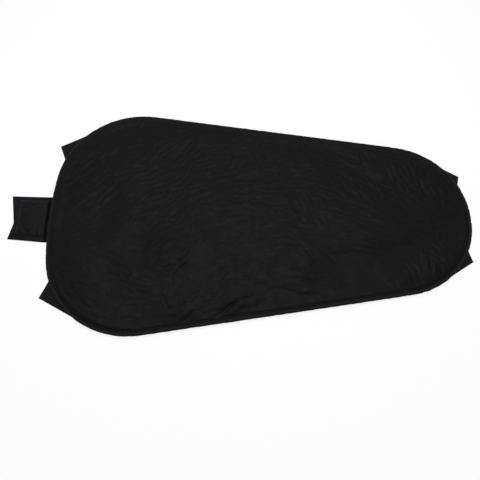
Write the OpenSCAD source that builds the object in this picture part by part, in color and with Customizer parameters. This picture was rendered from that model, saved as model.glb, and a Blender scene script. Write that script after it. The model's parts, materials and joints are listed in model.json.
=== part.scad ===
// Kayak spray skirt of the closed kind that snaps over a cockpit coaming.
// A nylon-faced neoprene deck is edged with a tunnel of binding tape that holds a loop of shock cord.
// Four webbing pull tabs are sewn under the corners, and a padded grab tab under the wide end.
// +X points to the narrow (bow) end, +Y to port and +Z up. The cover rests on its tabs at z = 0.

/* [Deck] */
// Length from rim to rim, without the grab tab
deck_len = 894; // [820:1:980]
// Greatest width across the rim
wide_w = 513; // [480:1:540]
// Width across the rim at the narrow corners
narrow_w = 349; // [342:1:370]
// Radius of the two wide corners
wide_corner_r = 180; // [150:1:195]
// Radius of the bowed wide end
wide_end_r = 790; // [600:5:1400]
// Radius of the two narrow corners
narrow_corner_r = 170; // [140:1:170]
// Radius of the bowed narrow end
narrow_end_r = 340; // [250:5:600]
// Thickness of the outer nylon face
shell_t = 0.6; // [0.6:0.1:1]
// Thickness of the neoprene core at its edge, between the tape's lips
core_t = 3; // [2:0.5:4]
// Thickness of the inner nylon face
lining_t = 0.6; // [0.4:0.1:1]

/* [Rim] */
// Diameter of the shock cord
cord_d = 5; // [4.5:0.5:8]
// Wall of the ferrule that joins the cord's ends
ferrule_t = 0.5; // [0.3:0.1:0.8]
// Length of the ferrule
ferrule_len = 24; // [16:1:40]
// Space between the cord's two ends inside the ferrule
cord_end_gap = 1; // [0.5:0.5:3]
// Thickness of the tape that makes the cord tunnel
tape_t = 0.8; // [0.6:0.1:1.2]
// How far the tape's lips reach in from the middle of the tunnel
lip_w = 14; // [10:1:20]
// Distance of the rim seam from the edge of the outer face
seam_in = 2.2; // [1.5:0.1:4]
// Width of a row of sewing thread
thread_w = 0.8; // [0.6:0.1:1.2]
// Height of a row of sewing thread
thread_t = 0.4; // [0.3:0.05:0.5]

/* [Corner tabs] */
// Thickness of the webbing
strap_t = 1.6; // [1.2:0.1:2.4]
// Width of the corner webbing
corner_strap_w = 50; // [44:1:54]
// Direction of the rim where a rear tab leaves it
rear_tab_at = 145; // [135:1:150]
// How far a rear tab's tip reaches past the rim
rear_reach = 28; // [18:1:34]
// How far along the rim a rear tab's tip lies towards the wide end
rear_lean = 22; // [14:1:28]
// Direction across a rear tab's webbing, turned from straight out of the rim
rear_across_a = 147; // [140:0.5:155]
// Direction along a rear tab's webbing, turned from straight out of the rim
rear_along_a = 243.5; // [241:0.5:247]
// Length of a rear tab's webbing
rear_strap_len = 105; // [95:1:105]
// Direction of the rim where a front tab leaves it
front_tab_at = 39; // [32:1:48]
// How far a front tab's tip reaches past the rim
front_reach = 15.5; // [12:0.5:22]
// How far along the rim a front tab's tip lies towards the narrow end
front_lean = 27; // [20:1:32]
// Direction across a front tab's webbing, turned from straight out of the rim
front_across_a = 143.5; // [138:0.5:150]
// Direction along a front tab's webbing, turned from straight out of the rim
front_along_a = 251; // [248:0.5:254]
// Length of a front tab's webbing
front_strap_len = 80; // [74:1:82]
// Length of the box stitch that holds a corner tab
corner_seam_len = 30; // [20:1:34]
// Width of the box stitch that holds a corner tab
corner_seam_w = 24; // [16:1:32]
// Distance of that box stitch's middle from the webbing's inner end
corner_seam_in = 25; // [21:1:30]
// Width of a corner patch along the rim
corner_patch_w = 120; // [100:1:130]
// How far a corner patch reaches in from the rim
corner_patch_reach = 70; // [55:1:90]

/* [Grab tab] */
// How far the grab tab reaches past the rim
grab_reach = 87; // [74:1:110]
// Width of the grab tab where it leaves the rim
grab_root_w = 106; // [96:1:120]
// Width of the grab tab at its free end
grab_end_w = 101; // [92:1:116]
// How far the grab tab sits off the centre line
grab_y = -3; // [-10:1:10]
// How far the grab tab's free end leans to port of its root
grab_lean = 5; // [0:1:12]
// Depth of the notch in the grab tab's free end
grab_notch = 12; // [4:1:16]
// Thickness of the foam inside the grab tab
grab_foam_t = 5; // [3:0.5:6]
// Distance of the foam from the fold line
grab_foam_start = 12; // [11:0.5:20]
// Distance of the foam from the grab tab's sides and end
grab_foam_margin = 9; // [6:0.5:14]
// Width of the slope round the foam
grab_foam_bevel = 4; // [2:0.5:6]
// Distance of the edge stitching from the padded part
grab_thread_off = 1.5; // [1:0.5:3]
// How far the grab tab's webbing runs in under the deck
grab_hold = 65; // [55:1:80]
// Length of the box stitch that holds the grab tab
grab_seam_len = 36; // [24:1:40]
// Distance of that box stitch from the webbing's sides and inner end
grab_seam_margin = 7; // [5:1:12]
// How far the grab tab's patch reaches past its webbing
grab_patch_margin = 9; // [5:1:15]

/* [Hidden] */
// Running gap between pieces that pass or turn against each other
gap = 0.3;
// Slack of a thread in its groove
thread_slack = 0.05;

function unit(a) = [cos(a), sin(a)];
function leg(long_side, other) = sqrt(long_side * long_side - other * other);

// Rim section, measured in from the middle of the cord tunnel
ferrule_room = 0.2;
tunnel_r = cord_d / 2 + ferrule_t + ferrule_room;
tube_r = tunnel_r + tape_t;
deck_inset = tube_r + tunnel_r + gap;
lip_inset = tube_r + lip_w;
groove_w = thread_w + 2 * thread_slack;
groove_t = thread_t + thread_slack;

// Heights of the layers, from the webbing up
z_lip = strap_t;
z_lining = z_lip + tape_t;
z_core = z_lining + lining_t;
z_top_lip = z_core + core_t;
z_shell = z_top_lip + tape_t;
z_tunnel = z_lining + tunnel_r;

// Ends of the rim along X, with the whole cover centred on the origin
narrow_x = (deck_len + grab_reach) / 2;
wide_x = narrow_x - deck_len;

// Centres of the arcs that make the rim's outer edge, port side
wide_corner_y = wide_w / 2 - wide_corner_r;
narrow_corner_y = narrow_w / 2 - narrow_corner_r;
wide_end_c = [wide_x + wide_end_r, 0];
narrow_end_c = [narrow_x - narrow_end_r, 0];
wide_corner_c = [wide_end_c.x - leg(wide_end_r - wide_corner_r, wide_corner_y), wide_corner_y];
narrow_corner_c = [narrow_end_c.x + leg(narrow_end_r - narrow_corner_r, narrow_corner_y), narrow_corner_y];

// Directions of the rim's normal where one arc hands over to the next
corner_step = narrow_corner_c - wide_corner_c;
side_a = atan2(corner_step.y, corner_step.x) + acos((wide_corner_r - narrow_corner_r) / norm(corner_step));
wide_a = atan2(wide_corner_y, wide_corner_c.x - wide_end_c.x);
narrow_a = atan2(narrow_corner_y, narrow_corner_c.x - narrow_end_c.x);

function flip_y(p) = [p.x, -p.y];

// Stations along one arc as [point, outward normal], no further apart than station_step.
// The last one is kept where a straight side follows.
station_step = 14.5;
function arc(c, r, from, to, keep_last = false) =
    let (steps = ceil(r * (to - from) * PI / 180 / station_step))
    [for (i = [0 : keep_last ? steps : steps - 1])
        let (n = unit(from + (to - from) * i / steps)) [c + r * n, n]];

// The rim's outer edge, anticlockwise from the middle of the wide end
RIM = concat(
    arc(wide_end_c, wide_end_r, 180, 360 - wide_a),
    arc(flip_y(wide_corner_c), wide_corner_r, 360 - wide_a, 360 - side_a, true),
    arc(flip_y(narrow_corner_c), narrow_corner_r, 360 - side_a, 360 - narrow_a),
    arc(narrow_end_c, narrow_end_r, 360 - narrow_a, 360 + narrow_a),
    arc(narrow_corner_c, narrow_corner_r, 360 + narrow_a, 360 + side_a, true),
    arc(wide_corner_c, wide_corner_r, 360 + side_a, 360 + wide_a),
    arc(wide_end_c, wide_end_r, 360 + wide_a, 540)
);

// The rim's outer edge moved in by a constant distance
function edge(inset) = [for (s = RIM) s[0] - inset * s[1]];

// The cord starts and ends on the centre line of the wide end
CORD = concat(
    [[RIM[0][0] - [0, cord_end_gap / 2], RIM[0][1]]],
    [for (i = [1 : len(RIM) - 1]) RIM[i]],
    [[RIM[0][0] + [0, cord_end_gap / 2], RIM[0][1]]]
);

// Tape tunnel in section: x runs in from the tunnel's middle, y is height from it.
// The tape leaves the tunnel's bottom as its lower lip, under the deck. Its upper lip runs in between
// the deck's core and its outer face, and the rim seam goes through all of them.
lip_low = z_top_lip - z_tunnel;
lip_high = lip_low + tape_t;
shell_inset = tube_r + leg(tube_r, lip_high) + gap;
seam_inset = shell_inset + seam_in;
seam_u = seam_inset - tube_r;
tape_steps = 12;
function turn(r, from, to) = [for (i = [0 : tape_steps]) r * unit(from + (to - from) * i / tape_steps)];
TAPE = concat(
    [[lip_w, -tube_r], [lip_w, -tunnel_r]],
    turn(tunnel_r, 270, asin(lip_low / tunnel_r)),
    [[lip_w, lip_low], [lip_w, lip_high]],
    turn(tube_r, asin(lip_high / tube_r), 270),
    [for (p = [[-1, 0], [-1, 1], [1, 1], [1, 0]])
        [seam_u + p.x * groove_w / 2, -tube_r + p.y * groove_t]]
);

// Corner straps in the rim's own directions: x out from the rim, y along it towards the nearest end.
// Each is [arc centre, arc radius, rim direction, tip, vector across the webbing, vector along it, flip].
function strap(c, r, at, tip, across_a, along_a, len, flip) =
    [c, r, at, tip, corner_strap_w * unit(across_a), len * unit(along_a), flip];
REAR = strap(wide_corner_c, wide_corner_r, rear_tab_at,
    [rear_reach, rear_lean], rear_across_a, rear_along_a, rear_strap_len, 0);
FRONT = strap(narrow_corner_c, narrow_corner_r, front_tab_at,
    [front_reach, front_lean], front_across_a, front_along_a, front_strap_len, 1);
PORT = 1;
STARBOARD = -1;

function strap_outline(k) = [k[3], k[3] + k[4], k[3] + k[4] + k[5], k[3] + k[5]];

// The fold line of every tab lies this far outside the rim, and the sewn half stops short of it
hinge_out = 3;
base_end = hinge_out - strap_t / 2 - gap;
ply_t = strap_t / 2;

// A point of the grab tab, moved to port as far as the tab leans there
function leaning(p) = [p.x, p.y + grab_lean * p.x / grab_reach];

// Outline of the grab tab, from the rim outwards
grab_outline = [for (p = [
    [0, -grab_root_w / 2],
    [grab_reach - grab_notch / 3, -grab_end_w / 2],
    [grab_reach - grab_notch, -grab_end_w / 8],
    [grab_reach, grab_end_w / 2],
    [0, grab_root_w / 2]
]) leaning(p)];

// Foam inside the grab tab
foam_start = hinge_out + grab_foam_start;
foam_size = [grab_reach - grab_notch - grab_foam_margin - foam_start, grab_end_w - 2 * grab_foam_margin];
grab_seam = [grab_seam_len, grab_root_w - 2 * grab_seam_margin];

// Outline of a layer of the given size that shares the foam's middle
function foam_outline(size) = [for (c = [[-1, -1], [1, -1], [1, 1], [-1, 1]])
    leaning([foam_start + foam_size.x / 2 + c.x * size.x / 2, c.y * size.y / 2])];

// Larger than anything that it is used to cut
big = 400;

// ---- building blocks ----

module layer(inset, z, t) {
    translate([0, 0, z]) linear_extrude(t) polygon(edge(inset));
}

// A ring of one width that follows the rim
module ring(inset, w, z, t) {
    translate([0, 0, z]) linear_extrude(t) difference() {
        polygon(edge(inset - w / 2));
        polygon(edge(inset + w / 2));
    }
}

// Carries a section along the stations. x of the section runs in from the tunnel's middle.
module sweep(stations, section, closed) {
    rows = len(stations);
    n = len(section);
    points = [for (s = stations, p = section)
        let (q = s[0] - (tube_r + p.x) * s[1]) [q.x, q.y, z_tunnel + p.y]];
    sides = [for (i = [0 : closed ? rows - 1 : rows - 2], j = [0 : n - 1])
        let (i2 = (i + 1) % rows, j2 = (j + 1) % n)
        [i * n + j, i2 * n + j, i2 * n + j2, i * n + j2]];
    caps = closed ? [] : [[for (j = [0 : n - 1]) j], [for (j = [n - 1 : -1 : 0]) (rows - 1) * n + j]];
    polyhedron(points, concat(sides, caps));
}

// Stands its children on the rim at a corner: local x points out, y towards the nearest end
module at_corner(k, side) {
    mirror([0, side < 0 ? 1 : 0, 0])
        translate(k[0] + k[1] * unit(k[2]))
            rotate(k[2])
                mirror([0, k[6], 0]) children();
}

module at_wide_end() {
    translate([wide_x, grab_y, 0]) mirror([1, 0, 0]) children();
}

// A flat bar that turns about a rounded root at the hinge line, from height low to height high
module hinged_slab(low, high) {
    translate([hinge_out, 0, 0]) rotate([90, 0, 0]) linear_extrude(big, center = true) {
        intersection() {
            translate([0, strap_t / 2]) circle(d = strap_t, $fn = 48);
            translate([-strap_t, low]) square([strap_t, high - low]);
        }
        translate([0, low]) square([big, high - low]);
    }
}

// Two diagonals inside a frame, as sewn to hold webbing
module box_stitch_shape(size, w) {
    diagonal = norm(size);
    difference() {
        square(size + [w, w], center = true);
        square(size - [w, w], center = true);
    }
    intersection() {
        square(size, center = true);
        for (s = [-1, 1]) rotate(s * atan2(size.y, size.x)) square([diagonal, w], center = true);
    }
}

module box_stitch(size, grow = 0) {
    translate([0, 0, grow > 0 ? -1 : thread_slack])
        linear_extrude(grow > 0 ? 1 + groove_t : thread_t)
            box_stitch_shape(size, thread_w + 2 * grow);
}

// ---- corner tabs ----

module corner_tab(k, side) {
    color([0.10, 0.10, 0.11]) at_corner(k, side) intersection() {
        hinged_slab(0, strap_t);
        translate([0, 0, -1]) linear_extrude(strap_t + 2) polygon(strap_outline(k));
    }
}

// Where the box stitch sits on a strap
module on_strap_seam(k) {
    along = k[5] / norm(k[5]);
    translate(k[3] + k[4] / 2 + k[5] - corner_seam_in * along) rotate(atan2(along.y, along.x)) children();
}

module corner_tab_base(k, side) {
    color([0.12, 0.12, 0.13]) at_corner(k, side) difference() {
        linear_extrude(strap_t) intersection() {
            polygon(strap_outline(k));
            translate([base_end - big, -big / 2]) square(big);
        }
        on_strap_seam(k) box_stitch([corner_seam_len, corner_seam_w], thread_slack);
    }
}

module corner_patch(k, side) {
    color([0.16, 0.16, 0.17]) translate([0, 0, z_lip]) linear_extrude(tape_t) intersection() {
        polygon(edge(lip_inset));
        at_corner(k, side) translate([-corner_patch_reach, -corner_patch_w / 2])
            square([corner_patch_reach, corner_patch_w]);
    }
}

module corner_box_stitching() {
    color([0.3, 0.3, 0.32]) for (k = [REAR, FRONT], side = [PORT, STARBOARD])
        at_corner(k, side) on_strap_seam(k) box_stitch([corner_seam_len, corner_seam_w]);
}

module rear_port_tab() { corner_tab(REAR, PORT); }
module rear_starboard_tab() { corner_tab(REAR, STARBOARD); }
module front_port_tab() { corner_tab(FRONT, PORT); }
module front_starboard_tab() { corner_tab(FRONT, STARBOARD); }
module rear_port_tab_base() { corner_tab_base(REAR, PORT); }
module rear_starboard_tab_base() { corner_tab_base(REAR, STARBOARD); }
module front_port_tab_base() { corner_tab_base(FRONT, PORT); }
module front_starboard_tab_base() { corner_tab_base(FRONT, STARBOARD); }
module rear_port_patch() { corner_patch(REAR, PORT); }
module rear_starboard_patch() { corner_patch(REAR, STARBOARD); }
module front_port_patch() { corner_patch(FRONT, PORT); }
module front_starboard_patch() { corner_patch(FRONT, STARBOARD); }

// ---- grab tab ----

// Foam with sloping sides, or the cover that fits over it when grown
module foam(grow = 0) {
    size = foam_size + 2 * [grow, grow];
    top = size - 2 * [grab_foam_bevel, grab_foam_bevel];
    translate([0, 0, ply_t]) hull() {
        linear_extrude(ply_t) polygon(foam_outline(size));
        linear_extrude(grab_foam_t + grow) polygon(foam_outline(top));
    }
}

module grab_ply(low, high) {
    intersection() {
        hinged_slab(low, high);
        translate([0, 0, -1]) linear_extrude(strap_t + 2) polygon(grab_outline);
    }
}

module grab_tab_lower_ply() {
    color([0.09, 0.09, 0.10]) at_wide_end() grab_ply(0, ply_t);
}

module grab_tab_upper_ply() {
    color([0.10, 0.10, 0.11]) at_wide_end() difference() {
        union() {
            grab_ply(ply_t, strap_t);
            foam(ply_t);
        }
        foam();
    }
}

module grab_tab_foam() {
    color([0.35, 0.35, 0.36]) at_wide_end() foam();
}

module grab_tab_edge_thread() {
    off = ply_t + grab_thread_off;
    around = foam_size + 2 * [off, off];
    color([0.3, 0.3, 0.32]) at_wide_end() translate([0, 0, strap_t]) linear_extrude(thread_t)
        difference() {
            polygon(foam_outline(around + [thread_w, thread_w]));
            polygon(foam_outline(around - [thread_w, thread_w]));
        }
}

module on_grab_seam() {
    at_wide_end() translate([grab_seam_margin + grab_seam_len / 2 - grab_hold, 0, 0]) children();
}

module grab_tab_base() {
    color([0.12, 0.12, 0.13]) difference() {
        at_wide_end() translate([-grab_hold, -grab_root_w / 2])
            cube([grab_hold + base_end, grab_root_w, strap_t]);
        on_grab_seam() box_stitch(grab_seam, thread_slack);
    }
}

module grab_tab_box_stitching() {
    color([0.3, 0.3, 0.32]) on_grab_seam() box_stitch(grab_seam);
}

module grab_tab_patch() {
    reach = grab_hold + grab_patch_margin;
    w = grab_root_w + 2 * grab_patch_margin;
    color([0.16, 0.16, 0.17]) translate([0, 0, z_lip]) linear_extrude(tape_t) intersection() {
        polygon(edge(lip_inset));
        at_wide_end() translate([-reach, -w / 2]) square([reach, w]);
    }
}

// ---- deck and rim ----

module deck_shell() {
    color([0.11, 0.11, 0.12]) difference() {
        layer(shell_inset, z_shell, shell_t);
        ring(seam_inset, groove_w, z_shell + shell_t - groove_t, 2 * groove_t);
    }
}

// Thinner at the edge, where the tape's upper lip lies on it
module deck_core() {
    color([0.28, 0.28, 0.30]) {
        layer(deck_inset, z_core, core_t);
        layer(lip_inset, z_core, core_t + tape_t);
    }
}

module deck_lining() { color([0.14, 0.14, 0.15]) layer(deck_inset, z_lining, lining_t); }

module rim_casing() { color([0.09, 0.09, 0.10]) sweep(RIM, TAPE, true); }

module rim_cord() {
    round = [for (a = [0 : 30 : 330]) cord_d / 2 * unit(a)];
    color([0.2, 0.2, 0.22]) sweep(CORD, round, false);
}

// The ferrule follows the bow of the wide end
module cord_ferrule() {
    span = ferrule_len / wide_end_r * 180 / PI;
    color([0.7, 0.7, 0.72]) translate([wide_end_c.x, 0, z_tunnel]) rotate(180 - span / 2)
        rotate_extrude(angle = span, $fn = 720) translate([wide_end_r - tube_r, 0]) difference() {
            circle(cord_d / 2 + ferrule_t, $fn = 48);
            circle(cord_d / 2 + 2 * thread_slack, $fn = 48);
        }
}

module rim_top_thread() {
    color([0.3, 0.3, 0.32]) ring(seam_inset, thread_w, z_shell + shell_t - thread_t, thread_t);
}

module rim_under_thread() {
    color([0.3, 0.3, 0.32]) ring(seam_inset, thread_w, z_lip + thread_slack, thread_t);
}

deck_shell();
deck_core();
deck_lining();
rim_casing();
rim_cord();
cord_ferrule();
rim_top_thread();
rim_under_thread();
rear_port_tab();
rear_starboard_tab();
front_port_tab();
front_starboard_tab();
rear_port_tab_base();
rear_starboard_tab_base();
front_port_tab_base();
front_starboard_tab_base();
rear_port_patch();
rear_starboard_patch();
front_port_patch();
front_starboard_patch();
corner_box_stitching();
grab_tab_upper_ply();
grab_tab_lower_ply();
grab_tab_foam();
grab_tab_edge_thread();
grab_tab_base();
grab_tab_patch();
grab_tab_box_stitching();
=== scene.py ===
"""The looks of a kayak cockpit cover: crinkled nylon deck, gathered corded rim, webbing and a padded tab.

Shapes are worked out in mm and made in metres. flat holds places in the ground plane, s is a distance along
the rim, and inset is a distance in from it.
"""

import json
import math

import bmesh
import bpy
import numpy as np
from mathutils import Matrix, Vector
from mathutils.geometry import delaunay_2d_cdt

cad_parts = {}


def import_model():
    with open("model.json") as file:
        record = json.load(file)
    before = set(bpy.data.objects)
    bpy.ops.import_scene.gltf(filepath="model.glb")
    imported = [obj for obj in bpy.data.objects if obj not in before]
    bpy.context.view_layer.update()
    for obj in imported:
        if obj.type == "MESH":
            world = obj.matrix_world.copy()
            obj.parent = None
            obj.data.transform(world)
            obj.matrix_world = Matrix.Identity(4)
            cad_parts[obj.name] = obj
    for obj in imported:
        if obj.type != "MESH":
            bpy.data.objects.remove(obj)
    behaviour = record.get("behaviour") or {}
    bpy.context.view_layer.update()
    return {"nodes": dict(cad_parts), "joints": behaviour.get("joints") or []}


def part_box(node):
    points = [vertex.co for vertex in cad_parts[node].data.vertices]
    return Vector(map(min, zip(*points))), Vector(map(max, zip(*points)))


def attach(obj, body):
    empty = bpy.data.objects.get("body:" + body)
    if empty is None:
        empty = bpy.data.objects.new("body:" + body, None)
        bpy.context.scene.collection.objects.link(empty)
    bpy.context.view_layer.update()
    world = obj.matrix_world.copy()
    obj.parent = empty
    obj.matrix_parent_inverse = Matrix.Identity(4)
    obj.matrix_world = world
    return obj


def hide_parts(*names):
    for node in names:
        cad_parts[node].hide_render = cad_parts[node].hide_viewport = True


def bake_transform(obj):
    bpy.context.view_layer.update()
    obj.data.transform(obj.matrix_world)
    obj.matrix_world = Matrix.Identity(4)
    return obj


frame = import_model()

MM = 0.001
SEED = 7

# In mm: how far in from the rim's edge the tape's lips reach, and the width of the sewing thread
LIP_INSET = 18.0
THREAD_W = 0.8


# ---- small helpers ----

def smoothstep(x, low, high):
    """0 below low, 1 above high, and smooth in between."""
    t = np.clip((x - low) / (high - low), 0, 1)
    return t * t * (3 - 2 * t)


def bell(x, width):
    """1 where x is 0, falling away on both sides over about two widths."""
    return np.exp(-0.5 * (x / width) ** 2)


def box_mm(node):
    """Lowest and highest corner of a CAD node in millimetres."""
    low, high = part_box(node)
    return np.array(low) / MM, np.array(high) / MM


def node_points(*nodes):
    """All the vertices of some CAD nodes in millimetres."""
    return np.array([v.co for n in nodes for v in frame["nodes"][n].data.vertices]) / MM


def hull(points):
    """Convex hull of points in the plane, anticlockwise, without the ones along a straight side."""
    points = np.unique(np.round(points, 3), axis=0)

    def chain(ordered):
        kept = []
        for p in ordered:
            while len(kept) > 1 and turn(kept[-2], kept[-1], p) < 1e-3:
                kept.pop()
            kept.append(p)
        return kept[:-1]

    return np.array(chain(points) + chain(points[::-1]))


def turn(a, b, c):
    """Above 0 where a, b, c turns left: about how far in mm the shorter leg leaves the longer one's line."""
    u, v = b - a, c - b
    return (u[0] * v[1] - u[1] * v[0]) / max(np.hypot(*u), np.hypot(*v), 1e-9)


def link_to_scene(name, data):
    """A new object in the scene that holds a mesh, a lamp or a camera."""
    piece = bpy.data.objects.new(name, data)
    bpy.context.scene.collection.objects.link(piece)
    return piece


def make_piece(name, points_mm, faces, corner_uv_mm, material, body=None, stands_for=(), slot=None):
    """A smooth-shaded mesh object. corner_uv_mm holds one flat position per face corner."""
    mesh = bpy.data.meshes.new(name)
    mesh.from_pydata((np.asarray(points_mm) * MM).tolist(), [], [list(map(int, f)) for f in faces])
    uv = mesh.uv_layers.new(name="flat")
    uv.data.foreach_set("uv", (np.asarray(corner_uv_mm, np.float32) * MM).ravel())
    face_outward(mesh)
    mesh.shade_smooth()
    mesh.materials.append(material)
    piece = link_to_scene(name, mesh)
    if body:
        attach(piece, body)
    if stands_for:
        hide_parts(*stands_for)
    return piece


def face_outward(mesh):
    """Turns every face of a closed mesh to face outward."""
    work = bmesh.new()
    work.from_mesh(mesh)
    bmesh.ops.recalc_face_normals(work, faces=work.faces)
    work.to_mesh(mesh)
    work.free()


def grid_quads(rows, columns, wrap_rows=False, wrap_columns=False):
    """Quads over a grid of points, and for each corner its row and column before wrapping."""
    i, j = np.meshgrid(
        np.arange(rows if wrap_rows else rows - 1),
        np.arange(columns if wrap_columns else columns - 1),
        indexing="ij",
    )
    i, j = i.ravel(), j.ravel()
    corner_rows = np.stack([i, i + 1, i + 1, i], 1)
    corner_columns = np.stack([j, j, j + 1, j + 1], 1)
    quads = corner_rows % rows * columns + corner_columns % columns
    return quads, corner_rows, corner_columns


def closed_sheet(flat_mm, faces, loop, top, bottom):
    """Points and faces of a thin closed sheet: a top, a bottom under it, and a wall round the loop."""
    count = len(flat_mm)
    points = np.concatenate([np.column_stack([flat_mm, top]), np.column_stack([flat_mm, bottom])])
    after = np.roll(loop, -1)
    wall = np.stack([loop, loop + count, after + count, after], 1)
    under = [[count + v for v in reversed(f)] for f in faces]
    return points, [*faces, *under, *wall.tolist()]


def per_corner(values, faces):
    """One value for each corner of each face, from one for each point."""
    return values[np.concatenate([list(f) for f in faces])]


def cover_cloth(name, material, node, slot, flat, faces, loop, top, bottom):
    """A thin closed sheet on the cover, in place of one CAD node, with its flat places as uv."""
    points, faces = closed_sheet(flat, faces, loop, top, bottom)
    uv = per_corner(points, faces)[:, :2]
    return make_piece(name, points, faces, uv, material, "cover", [node], slot)


def lengths_round(loop):
    """Distance along a closed line to each of its points, and last back to the first."""
    closed = np.vstack([loop, loop[:1]])
    return np.concatenate([[0], np.cumsum(np.hypot(*np.diff(closed, axis=0).T))])


def even_loop(loop, step):
    """A closed line as evenly spaced points, and the distance along it to each."""
    along = lengths_round(loop)
    count = round(along[-1] / step)
    s = np.arange(count) / count * along[-1]
    return np.column_stack([np.interp(s, along, np.append(v, v[0])) for v in loop.T]), s


def polygon_area(p):
    """Area inside a closed line."""
    q = np.roll(p, -1, 0)
    return abs((p[:, 0] * q[:, 1] - p[:, 1] * q[:, 0]).sum()) / 2


# ---- the rim's own directions ----

class Rim:
    """The rim's outer edge as a smooth closed curve: even points p, and directions t along it and n out."""

    step = 2.0
    smoothing = 6.0

    def __init__(self, polygon, polygon_inset):
        self._set(even_loop(polygon, self.step)[0])
        spectrum = np.fft.fft(self.p[:, 0] + 1j * self.p[:, 1])
        waves = np.fft.fftfreq(len(self.p), self.length / len(self.p)) * 2 * np.pi
        curve = np.fft.ifft(spectrum * np.exp(-0.5 * (waves * self.smoothing) ** 2))
        self._set(np.column_stack([curve.real, curve.imag]))
        self._set(even_loop(self.p + polygon_inset * self.n, self.step)[0])

    def _set(self, loop):
        """Takes a new curve, and works out its directions, its length and s at each point."""
        ahead = np.roll(loop, -1, 0) - np.roll(loop, 1, 0)
        self.p = loop
        self.t = ahead / np.hypot(*ahead.T)[:, None]
        self.n = np.column_stack([self.t[:, 1], -self.t[:, 0]])
        self.length = float(np.hypot(*(np.roll(loop, -1, 0) - loop).T).sum())
        self.s = np.arange(len(loop)) * self.length / len(loop)

    def _between(self, values, s):
        """Values known at the curve's points, at any s."""
        ends = np.append(self.s, self.length)
        return np.column_stack([np.interp(s % self.length, ends, np.append(v, v[0])) for v in values.T])

    def at(self, s, inset=0.0):
        """Points at a distance in from the rim, and the outward normals there."""
        normal = self._between(self.n, s)
        normal /= np.hypot(*normal.T)[:, None]
        return self._between(self.p, s) - np.reshape(inset, (-1, 1)) * normal, normal

    def locate(self, flat):
        """s and inset of points in the plane."""
        s, inset = np.empty(len(flat)), np.empty(len(flat))
        for part in np.array_split(np.arange(len(flat)), max(1, len(flat) // 4000)):
            q = flat[part]
            far = (q[:, :1] - self.p[:, 0]) ** 2 + (q[:, 1:] - self.p[:, 1]) ** 2
            near = far.argmin(1)
            off = q - self.p[near]
            s[part] = (self.s[near] + (off * self.t[near]).sum(1)) % self.length
            inset[part] = -(off * self.n[near]).sum(1)
        return s, inset

    def apart(self, s, place):
        """Signed distance along the rim from place to s."""
        return (s - place + self.length / 2) % self.length - self.length / 2


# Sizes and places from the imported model
casing_low, casing_high = box_mm("rim_casing")
shell_low, shell_high = box_mm("deck_shell")
lining_low, lining_high = box_mm("deck_lining")
patch_low, patch_high = box_mm("grab_tab_patch")

shell_inset = shell_low[0] - casing_low[0]
core_inset = box_mm("deck_core")[0][0] - casing_low[0]
seam_inset = box_mm("rim_top_thread")[0][0] - casing_low[0] + THREAD_W / 2
tube_r = (casing_high[2] - casing_low[2]) / 2
tube_z = casing_low[2] + tube_r
tape_t = patch_high[2] - patch_low[2]
shell_t = shell_high[2] - shell_low[2]

rim = Rim(hull(node_points("deck_shell")[:, :2]), shell_inset)
deck_x = rim.p[:, 0].min(), rim.p[:, 0].max()
deck_y = rim.p[:, 1].min(), rim.p[:, 1].max()


def jittered(pitch, jitter, draw):
    """Places along the whole rim, one for each pitch, each moved a little at random."""
    places = np.arange(0, rim.length, pitch)
    return places + draw.uniform(-jitter, jitter, len(places))


# ---- materials ----

def add_node(tree, kind, inputs=(), **settings):
    """A new node. Inputs that are another node's output are linked to it, and the others are set."""
    node = tree.nodes.new(kind)
    for key, value in settings.items():
        setattr(node, key, value)
    for key, value in dict(inputs).items():
        if isinstance(value, bpy.types.NodeSocket):
            tree.links.new(value, node.inputs[key])
        else:
            node.inputs[key].default_value = value
    return node


def add_math(tree, operation, *values, **settings):
    """The output of a new math node whose inputs are the values, in order."""
    inputs = enumerate(values)
    return add_node(tree, "ShaderNodeMath", inputs, operation=operation, **settings).outputs[0]


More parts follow.
